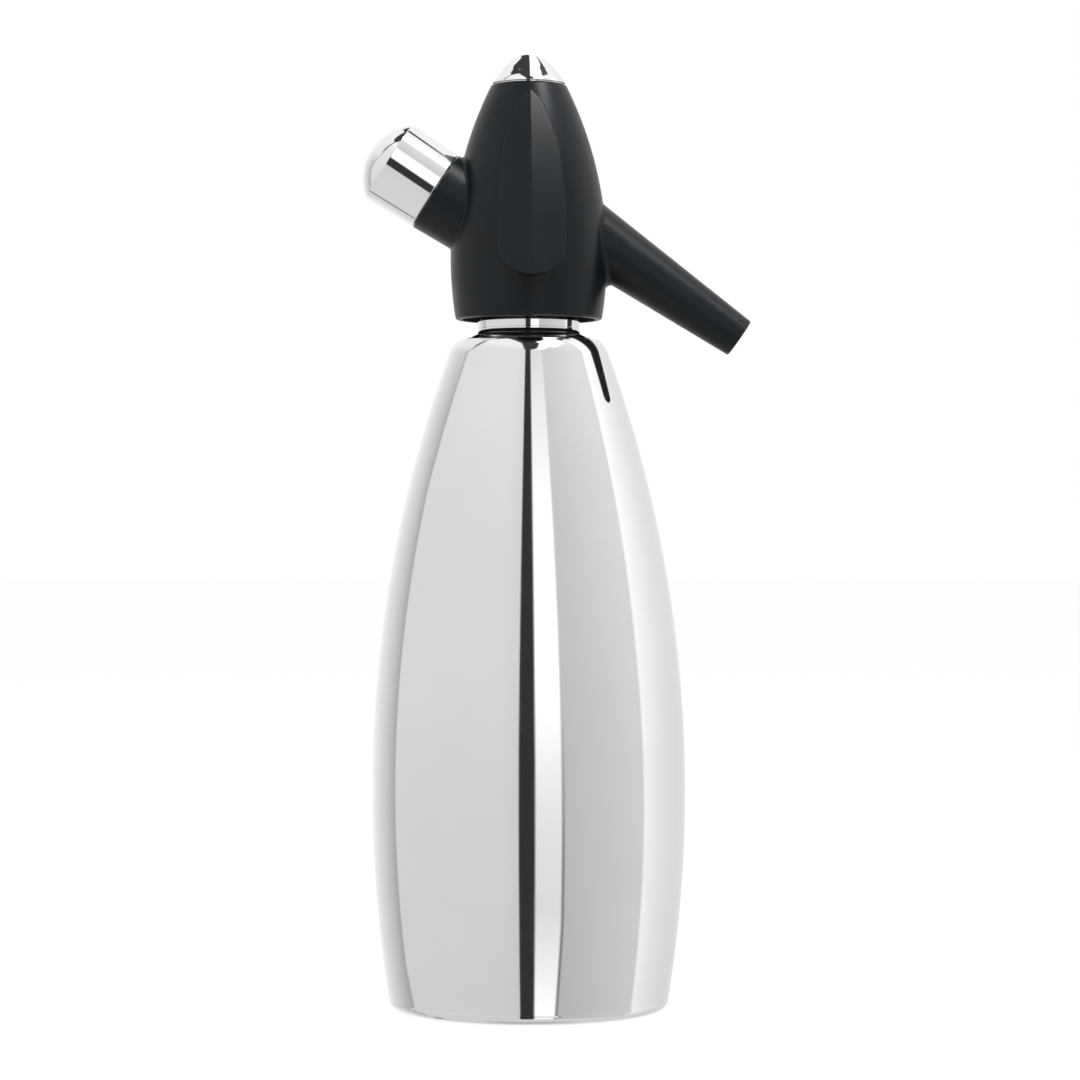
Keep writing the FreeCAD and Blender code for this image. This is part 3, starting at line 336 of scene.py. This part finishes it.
LOOKS = {
    "polished_steel": metal(
        "Polished steel", (0.83, 0.845, 0.85), (0.88, 0.89, 0.895), 0.035, 0.065, marks=0.03
    ),
    "chrome_plate": metal(
        "Chrome plate", (0.88, 0.89, 0.895), (0.92, 0.925, 0.93), 0.025, 0.05
    ),
    "plain_steel": metal(
        "Plain steel", (0.42, 0.43, 0.44), (0.5, 0.51, 0.52), 0.22, 0.34, marks=0.12
    ),
    "thread_metal": metal(
        "Turned aluminium", (0.62, 0.63, 0.64), (0.7, 0.71, 0.72), 0.2, 0.32, marks=0.15
    ),
    "black_plastic": plastic(
        "Black plastic", (0.002, 0.0045, 0.0065), (0.0035, 0.0065, 0.009), 0.33, 0.41,
        grain=2600.0, depth=0.22, gloss=0.27,
    ),
    "grey_plastic": plastic(
        "Grey plastic", (0.1, 0.105, 0.11), (0.13, 0.135, 0.14), 0.4, 0.5,
        grain=2200.0, depth=0.2,
    ),
    "white_plastic": plastic(
        "White plastic", (0.7, 0.7, 0.67), (0.76, 0.76, 0.74), 0.35, 0.45,
        grain=2200.0, depth=0.15,
    ),
    "clear_plastic": plastic(
        "Natural plastic", (0.62, 0.64, 0.63), (0.68, 0.7, 0.69), 0.28, 0.4,
        grain=2200.0, depth=0.12,
    ),
    "rubber": plastic(
        "Rubber", (0.012, 0.012, 0.012), (0.022, 0.022, 0.022), 0.6, 0.75,
        grain=1500.0, depth=0.4,
    ),
}

for part in frame["record"]["subparts"]:
    node = frame["nodes"][part["node"]]
    node.data.materials.clear()
    node.data.materials.append(LOOKS[part["material_slot"]])


# ---- Bottle ----------------------------------------------------------------------
def bottle_profile():
    middle = (FOOT_ROUND_Z + SIDE_TOP_Z) / 2
    low = (bottle_radius(FOOT_ROUND_Z), FOOT_ROUND_Z)
    high = (bottle_radius(SHOULDER_START_Z), SHOULDER_START_Z)
    inside = bottle_radius(SIDE_TOP_Z)
    points = [(FOOT_INNER_R, 0.0), (FOOT_R, 0.0)]
    points += arc((FOOT_R, 0.0), (FOOT_R + 1.95, 0.85), low, 10)
    points += arc(low, (bottle_radius(middle), middle), high, 110)
    points += arc(high, (24.67, 210.55), (23.27, 212.54), 14)
    points += arc((23.27, 212.54), (22.85, 212.9), (SHOULDER_R, SHOULDER_Z), 8)
    points += [(20.8, 213.6), (19.2, 214.12), (COVE_R, COVE_Z)]
    points += arc((COVE_R, COVE_Z), (16.68, 215.33), (COLLAR_R, COLLAR_START_Z), 12)
    bore = COLLAR_R - STEEL
    inner_high = (inside - STEEL, SIDE_TOP_Z - STEEL / 2)
    inner_low = (low[0] - STEEL, FOOT_ROUND_Z)
    points += [(COLLAR_R, COLLAR_SEAM_Z), (bore, COLLAR_SEAM_Z), (bore, SPIGOT_BOTTOM_Z)]
    points += [(SPIGOT_LEDGE_R, SPIGOT_BOTTOM_Z)]
    points += arc((SPIGOT_LEDGE_R, SPIGOT_BOTTOM_Z), (22.9, 212.0), inner_high, 8)
    points += arc(inner_high, (bottle_radius(middle) - STEEL, middle), inner_low, 60)
    points += arc(inner_low, (FOOT_R + 1.1, 1.6), (FOOT_R - 0.4, STEEL), 6)
    return points + [(FOOT_INNER_R, STEEL)]


shell = add_object(
    "polished_shell", *turned_mesh(eased(bottle_profile()), 256), "bottle", "polished_steel"
)
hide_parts("bottle_shell")


def neck_profile():
    spigot = COLLAR_R - STEEL
    chamfer = 0.6
    return eased([
        (NECK_BORE_R, SPIGOT_BOTTOM_Z),
        (spigot, SPIGOT_BOTTOM_Z),
        (spigot, COLLAR_SEAM_Z),
        (COLLAR_R, COLLAR_SEAM_Z),
        (COLLAR_R, COLLAR_TOP_Z - chamfer),
        (COLLAR_R - chamfer, COLLAR_TOP_Z),
        (NECK_CORE_R, COLLAR_TOP_Z),
        (NECK_CORE_R, NECK_TOP_Z, 0.4),
        (NECK_BORE_R, NECK_TOP_Z),
    ])


neck = add_object(
    "threaded_neck",
    *joined(
        turned_mesh(neck_profile()),
        thread_mesh(
            NECK_CORE_R, NECK_CORE_R + NECK_THREAD_DEPTH,
            COLLAR_TOP_Z + 0.1, NECK_TOP_Z - 0.2, NECK_PITCH, 96,
        ),
    ),
    "bottle", "polished_steel",
)
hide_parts("neck_ring")


# ---- Head ------------------------------------------------------------------------
def nut_profile():
    return eased([
        (NUT_BORE_R + NUT_CHAMFER, NUT_START_Z),
        (SKIRT_BORE_R, NUT_START_Z),
        (SKIRT_BORE_R, NUT_TOP_Z),
        (NUT_BORE_R, NUT_TOP_Z),
        (NUT_BORE_R, NUT_START_Z + NUT_CHAMFER),
    ])


nut = add_object(
    "threaded_neck_nut",
    *joined(
        turned_mesh(nut_profile()),
        thread_mesh(
            NUT_BORE_R, NUT_BORE_R - NUT_THREAD_DEPTH,
            NUT_START_Z + NUT_CHAMFER, NUT_TOP_Z - 0.4, NECK_PITCH, 96,
        ),
    ),
    "head", "black_plastic",
)
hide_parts("neck_nut")


def cap_profile():
    spigot, bore, lip = CAP_SPIGOT_R, CAP_SPIGOT_R - 1.0, CAP_SPIGOT_R + 0.6
    outer = [(CAP_R, CAP_BASE_Z), (9.76, 298.2), (7.36, 301.1), (3.84, 303.85), (0.0, CAP_APEX_Z)]
    inner = [(0.0, CAP_APEX_Z - 1.0), (3.3, 302.6), (6.2, 300.4), (8.5, 297.7), (bore, 295.2)]
    points = [(bore, CAP_SPIGOT_Z), (spigot, CAP_SPIGOT_Z), (spigot, HEAD_TOP_Z)]
    points += [(lip, HEAD_TOP_Z), (lip, CAP_BASE_Z)]
    points += [outer[0]] + smooth_line(outer, (-1.3, 3.5), (-3.6, 0.0), 14)
    points += [inner[0]] + smooth_line(inner, (3.4, 0.0), (0.6, -2.6), 6)
    return eased(points)


cap = add_object("chrome_dome", *turned_mesh(cap_profile()), "head", "chrome_plate")
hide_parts("decor_cap")

socket_profile = [
    (SOCKET_BORE_R, SOCKET_START),
    (SOCKET_R, SOCKET_START),
    (SOCKET_R, SOCKET_END),
    (SOCKET_BORE_R, SOCKET_END),
]
socket = add_object(
    "threaded_socket",
    *joined(
        turned_mesh(socket_profile, 96, ON_CHARGER),
        thread_mesh(
            SOCKET_BORE_R, SOCKET_BORE_R - SOCKET_THREAD_DEPTH,
            14.0, 33.6, HOLDER_PITCH, 72, ON_CHARGER,
        ),
    ),
    "head", "thread_metal",
)
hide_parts("charger_socket")


# ---- Valve spring ----------------------------------------------------------------
def coil_mesh(radius, wire, start, end, turns, segments=40, sides=12):
    """A coil of round wire along +Y, at the valve's height."""
    steps = turns * segments
    verts, faces = [], []
    for i in range(steps + 1):
        angle, along_y = 2 * math.pi * i / segments, start + (end - start) * i / steps
        for k in range(sides):
            side = 2 * math.pi * k / sides
            out = radius + wire * math.cos(side)
            y = along_y + wire * math.sin(side)
            verts.append((out * math.cos(angle), y, VALVE_Z - out * math.sin(angle)))
    for i in range(steps):
        for k in range(sides):
            a, b = sides * i + k, sides * i + (k + 1) % sides
            faces.append([a, a + sides, b + sides, b])
    faces.append(list(range(sides)))
    faces.append([sides * steps + k for k in range(sides - 1, -1, -1)])
    return verts, faces


spring_low, spring_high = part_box("valve_spring")
spring_start, spring_end = spring_low[1] / MM + SPRING_WIRE, spring_high[1] / MM - SPRING_WIRE
spring = add_mesh(
    "coil_spring", *coil_mesh(SPRING_R, SPRING_WIRE, spring_start, spring_end, 4),
    "plain_steel",
)
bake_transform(spring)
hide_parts("valve_spring")


# ---- Charger holder --------------------------------------------------------------
def dome_arc(apex, edge_radius, edge, count):
    """Points of a spherical dome from its edge to its apex, the edge left out."""
    rise = apex - edge
    sphere = (edge_radius**2 + rise**2) / (2 * rise)
    first = math.asin(edge_radius / sphere)
    angles = [first * (1 - i / count) for i in range(1, count + 1)]
    return [(sphere * math.sin(a), apex - sphere + sphere * math.cos(a)) for a in angles]


def holder_profile():
    inner_r = HOLDER_EDGE_R - HOLDER_WALL
    points = [(HOLDER_START_R - HOLDER_WALL, HOLDER_START), (HOLDER_START_R, HOLDER_START, 0.3)]
    points += [(HOLDER_EDGE_R, HOLDER_EDGE, 0.5)]
    points += dome_arc(HOLDER_APEX, HOLDER_EDGE_R, HOLDER_EDGE, 28)
    points += dome_arc(HOLDER_APEX - HOLDER_WALL, inner_r, HOLDER_EDGE, 16)[::-1]
    return eased(points + [(inner_r, HOLDER_EDGE)])


holder = add_object(
    "chrome_holder_cap", *turned_mesh(holder_profile(), ROUND, ON_CHARGER),
    "charger_holder", "chrome_plate",
)
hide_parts("holder_cap")

add_object(
    "holder_thread",
    *thread_mesh(
        SLEEVE_R, SLEEVE_R + SLEEVE_THREAD_DEPTH, 13.0, 34.5, HOLDER_PITCH, 72, ON_CHARGER
    ),
    "charger_holder", "thread_metal",
)


# ---- Studio ----------------------------------------------------------------------
def stage_disc(name, radius, height, material, segments=96):
    verts = [(0, 0, height)]
    for i in range(segments):
        angle = 2 * math.pi * i / segments
        verts.append((radius * math.cos(angle), radius * math.sin(angle), height))
    faces = [(0, 1 + i, 1 + (i + 1) % segments) for i in range(segments)]
    mesh = bpy.data.meshes.new(name)
    mesh.from_pydata(verts, [], faces)
    mesh.materials.append(material)
    disc = bpy.data.objects.new(name, mesh)
    bpy.context.scene.collection.objects.link(disc)
    return disc


def floor_material():
    """White for the camera with a trace of shadow, plain pale for all else."""
    material = bpy.data.materials.new("Studio floor")
    material.use_nodes = True
    nodes, links = material.node_tree.nodes, material.node_tree.links
    plain = nodes["Principled BSDF"]
    plain.inputs["Base Color"].default_value = (0.9, 0.9, 0.9, 1.0)
    plain.inputs["Roughness"].default_value = 0.9
    shadow = nodes.new("ShaderNodeBsdfDiffuse")
    shadow.inputs["Color"].default_value = (0.4, 0.4, 0.4, 1.0)
    light = nodes.new("ShaderNodeEmission")
    light.inputs["Strength"].default_value = 0.74
    both = nodes.new("ShaderNodeAddShader")
    path = nodes.new("ShaderNodeLightPath")
    choose = nodes.new("ShaderNodeMixShader")
    links.new(shadow.outputs["BSDF"], both.inputs[0])
    links.new(light.outputs["Emission"], both.inputs[1])
    links.new(path.outputs["Is Camera Ray"], choose.inputs["Fac"])
    links.new(plain.outputs["BSDF"], choose.inputs[1])
    links.new(both.outputs["Shader"], choose.inputs[2])
    links.new(choose.outputs["Shader"], nodes["Material Output"].inputs["Surface"])
    return material


floor = stage_disc("floor", 12.0, -0.0002, floor_material())
floor.visible_glossy = False


# ---- World -----------------------------------------------------------------------
# The studio that polished metal mirrors, as levels where 1 is white. Angles are in degrees,
# across from the front towards +X, and up from the horizontal.
MATT_LEVEL = 0.62              # what all but mirrors and the camera see
LEFT_WALL, LEFT_EDGE, ROOM = 0.76, 0.43, 1.05
RIGHT_WALL, RIGHT_WALL_END = 0.59, 0.73
VALLEY, VALLEY_ANGLE = 0.8, 142.0
GAP, SOFT_BOX, CEILING_SHADE, CEILING_BAR = 0.035, 1.6, 0.05, 0.09
TABLE, UNDERSIDE = 0.7, 0.5
LAMP = 75.0                    # the middle of the soft box above the right of the front


class Term:
    """A value in the world's nodes, so that its light can be written as formulas."""

    tree = None

    def __init__(self, socket):
        self.socket = socket

    @classmethod
    def node(cls, operation, *values, clamp=False):
        node = cls.tree.nodes.new("ShaderNodeMath")
        node.operation = operation
        node.use_clamp = clamp
        for socket, value in zip(node.inputs, values):
            if isinstance(value, Term):
                cls.tree.links.new(value.socket, socket)
            else:
                socket.default_value = value
        return cls(node.outputs["Value"])

    def __add__(self, other):
        return Term.node("ADD", self, other)

    def __sub__(self, other):
        return Term.node("SUBTRACT", self, other)

    def __mul__(self, other):
        return Term.node("MULTIPLY", self, other)

    def __truediv__(self, other):
        return Term.node("DIVIDE", self, other)

    def __neg__(self):
        return self * -1.0

    def after(self, edge, soft):
        """0 before an edge and 1 after it, with a soft step between."""
        return Term.node("MULTIPLY_ADD", self - edge, 1.0 / soft, 0.5, clamp=True)

    def before(self, edge, soft):
        return -self.after(edge, soft) + 1.0

    def between(self, low, high, soft):
        return self.after(low, soft) * self.before(high, soft)

    def ramp(self, start, end):
        """0 up to a start and 1 from an end on, rising evenly between."""
        return self.after((start + end) / 2, end - start)

    def past(self, edge):
        """How far past an edge, and 0 before it."""
        return Term.node("MAXIMUM", self - edge, 0.0)

    def limited(self, low, high):
        return Term.node("MAXIMUM", Term.node("MINIMUM", self, high), low)

    def shown(self, other, share):
        """This value, with another one laid over it by a share."""
        difference = other - self if isinstance(other, Term) else -self + other
        return difference * share + self


def walls_level(place):
    """Two large soft walls. The left one ends in a dark edge, behind which the room gets lighter
    again. The right one ends in a bright edge, and the room behind it dips in a valley."""
    walls = place.ramp(-22.0, 24.0) * (RIGHT_WALL - LEFT_WALL) + LEFT_WALL
    walls = walls + place.ramp(24.0, 80.0) * (RIGHT_WALL_END - RIGHT_WALL)
    valley = (place - VALLEY_ANGLE) / 50.0
    right_room = valley * valley * 0.24 + VALLEY + place.ramp(159.0, 171.0) * 0.13
    brighter = Term.node("POWER", (-place).ramp(118.0, 180.0), 0.65)
    left_room = brighter * (ROOM - LEFT_EDGE) + LEFT_EDGE
    walls = walls.shown(right_room, place.ramp(87.6, 90.0))
    return left_room.shown(walls, place.ramp(-117.8, -115.6))


def panel_level(height):
    """The bright panel in front, dimmer in a low band and towards its top."""
    rise = height.ramp(-19.0, 6.0)
    low_band = rise * rise * 0.45 - height.ramp(-26.0, -15.0) * 0.35
    return low_band - height.ramp(24.0, 44.0) * 0.45 + 1.15


def walls_and_front(across, height):
    """The walls, the panel, the dark gap beside it and the table below."""
    below = -height
    bend = height.after(25.0, 20.0) * 14.0 + below.after(18.0, 6.0) * 7.0
    bend = bend - below.after(39.0, 8.0) * 15.0
    moved = across - bend * across.before(-70.0, 30.0)
    right_shift = below.past(-8.0) * 0.15 * across.after(70.0, 10.0)
    slope = across.after(15.0, 8.0) * 0.002 + 0.0031
    level = walls_level(moved - right_shift) * (slope * height.limited(-28.0, 42.0) + 1.0)
    level = level.shown(0.93, moved.before(-120.0, 4.0) * height.after(27.0, 10.0) * 0.8)

    past_panel = across - (height * -0.05 + 21.3 - below.past(17.0) * 0.3)
    line = past_panel.between(0.4, 2.4, 1.2) * below.after(2.0, 18.0)
    level = level * (line * -0.6 + 1.0)
    on_panel = across.after(0.0, 1.0) * past_panel.before(0.0, 1.2)
    level = level.shown(panel_level(height), on_panel).shown(1.0, height.after(50.0, 10.0))

    rise = height.past(0.0)
    gap = across.after(rise * 0.035 - 9.4, 0.9) * across.before(rise * -0.04 + 2.6, 1.6)
    level = level.shown(GAP, gap * height.before(50.0, 6.0))
    level = level.shown(TABLE, below.after(38.0, 6.0)).shown(UNDERSIDE, below.after(72.0, 10.0))
    ends = height.after(38.0, 8.0) + below.after(40.0, 6.0)
    crease = moved.between(-122.5, -116.0, 1.5) * ends * height.before(64.0, 3.0)
    return level * (crease * -0.7 + 1.0)


def with_ceiling(level, u, v, overhead):
    """Lays the ceiling over a level: a soft box with a strong lamp in its middle, and the dark
    shade and bar round it. It is a plane, u to the right and v to the front of overhead."""
    left_side = v.limited(-0.1, 0.47) * 0.42 - 0.36 - v.between(-0.42, -0.03, 0.2) * 0.2
    left_side = left_side + v.before(-0.47, 0.16) * 0.14
    right_side = v.between(0.4, 0.95, 0.14) * 0.16 + 0.045
    shade = u.after(left_side, 0.04) * u.before(right_side, 0.05)
    box_end = v.between(0.1, 0.62, 0.08) * 0.22 + 0.44
    soft_box = u.between(right_side, box_end, 0.05) * v.between(-0.6, 1.0, 0.2)
    lamp = u.between(0.47, 0.6, 0.1) * v.between(0.24, 0.48, 0.1)
    bar_start = (-v).past(0.17) * -0.28 + 0.44
    bar_end = v.between(-0.3, -0.12, 0.05) * 0.07 + 0.58 - (-v).past(0.3) * 0.6
    bar = u.between(bar_start, bar_end, 0.04) * v.between(-0.75, 0.08, 0.1)
    level = level.shown(SOFT_BOX, soft_box * overhead).shown(LAMP, lamp * overhead)
    return level.shown(CEILING_SHADE, shade * overhead).shown(CEILING_BAR, bar * overhead)


def studio_level(direction):
    """Light level of the studio round the object in each direction."""
    split = Term.tree.nodes.new("ShaderNodeSeparateXYZ")
    Term.tree.links.new(direction, split.inputs["Vector"])
    x, y, z = (Term(split.outputs[axis]) for axis in "XYZ")
    across = Term.node("ARCTAN2", x, -y) * math.degrees(1.0)
    height = Term.node("ARCSINE", z) * math.degrees(1.0)
    level = walls_and_front(across, height)
    return with_ceiling(level, x / z, -(y / z), height.after(45.0, 3.0))


def world_light():
    """White for the camera, even light for matt surfaces and a studio for glossy ones."""
    world = bpy.data.worlds.new("Studio")
    bpy.context.scene.world = world
    world.use_nodes = True
    Term.tree = world.node_tree
    nodes, links = world.node_tree.nodes, world.node_tree.links
    level = studio_level(nodes.new("ShaderNodeTexCoord").outputs["Generated"])
    path = nodes.new("ShaderNodeLightPath")
    seen = (level - MATT_LEVEL) * Term(path.outputs["Is Glossy Ray"]) + MATT_LEVEL
    seen = seen.shown(1.0, Term(path.outputs["Is Camera Ray"]))
    links.new(seen.socket, nodes["Background"].inputs["Color"])


world_light()


def soft_box(name, place, target, size, watts):
    light = bpy.data.lights.new(name, "AREA")
    light.shape = "SQUARE"
    light.size = size
    light.energy = watts
    lamp = bpy.data.objects.new(name, light)
    bpy.context.scene.collection.objects.link(lamp)
    lamp.location = place
    aim = Vector(target) - Vector(place)
    lamp.rotation_euler = aim.to_track_quat("-Z", "Y").to_euler()
    lamp.visible_glossy = False


soft_box("key_light", (0.42, -0.62, 1.0), (0.0, 0.0, 0.25), 0.28, 5.5)
soft_box("fill_light", (-0.9, -0.5, 0.7), (0.0, 0.0, 0.2), 0.6, 4.0)


# ---- Camera ----------------------------------------------------------------------
VIEW_WIDTH = 0.3456            # metres across the picture at the object's axis
DISTANCE = 1.07
SENSOR = 36.0
AZIMUTH = math.radians(-2.3)
AIM = Vector((0.0036, 0.0, 0.1491))

camera_data = bpy.data.cameras.new("camera")
camera_data.sensor_width = SENSOR
camera_data.lens = SENSOR * DISTANCE / VIEW_WIDTH
camera_data.clip_start = 0.05
camera = bpy.data.objects.new("camera", camera_data)
bpy.context.scene.collection.objects.link(camera)
camera.location = AIM + DISTANCE * Vector((math.sin(AZIMUTH), -math.cos(AZIMUTH), 0.0))
look = (AIM - camera.location).to_track_quat("-Z", "Y").to_matrix().to_4x4()
camera.matrix_world = Matrix.Translation(camera.location) @ look
bpy.context.scene.camera = camera
bpy.context.scene.view_settings.view_transform = "Standard"
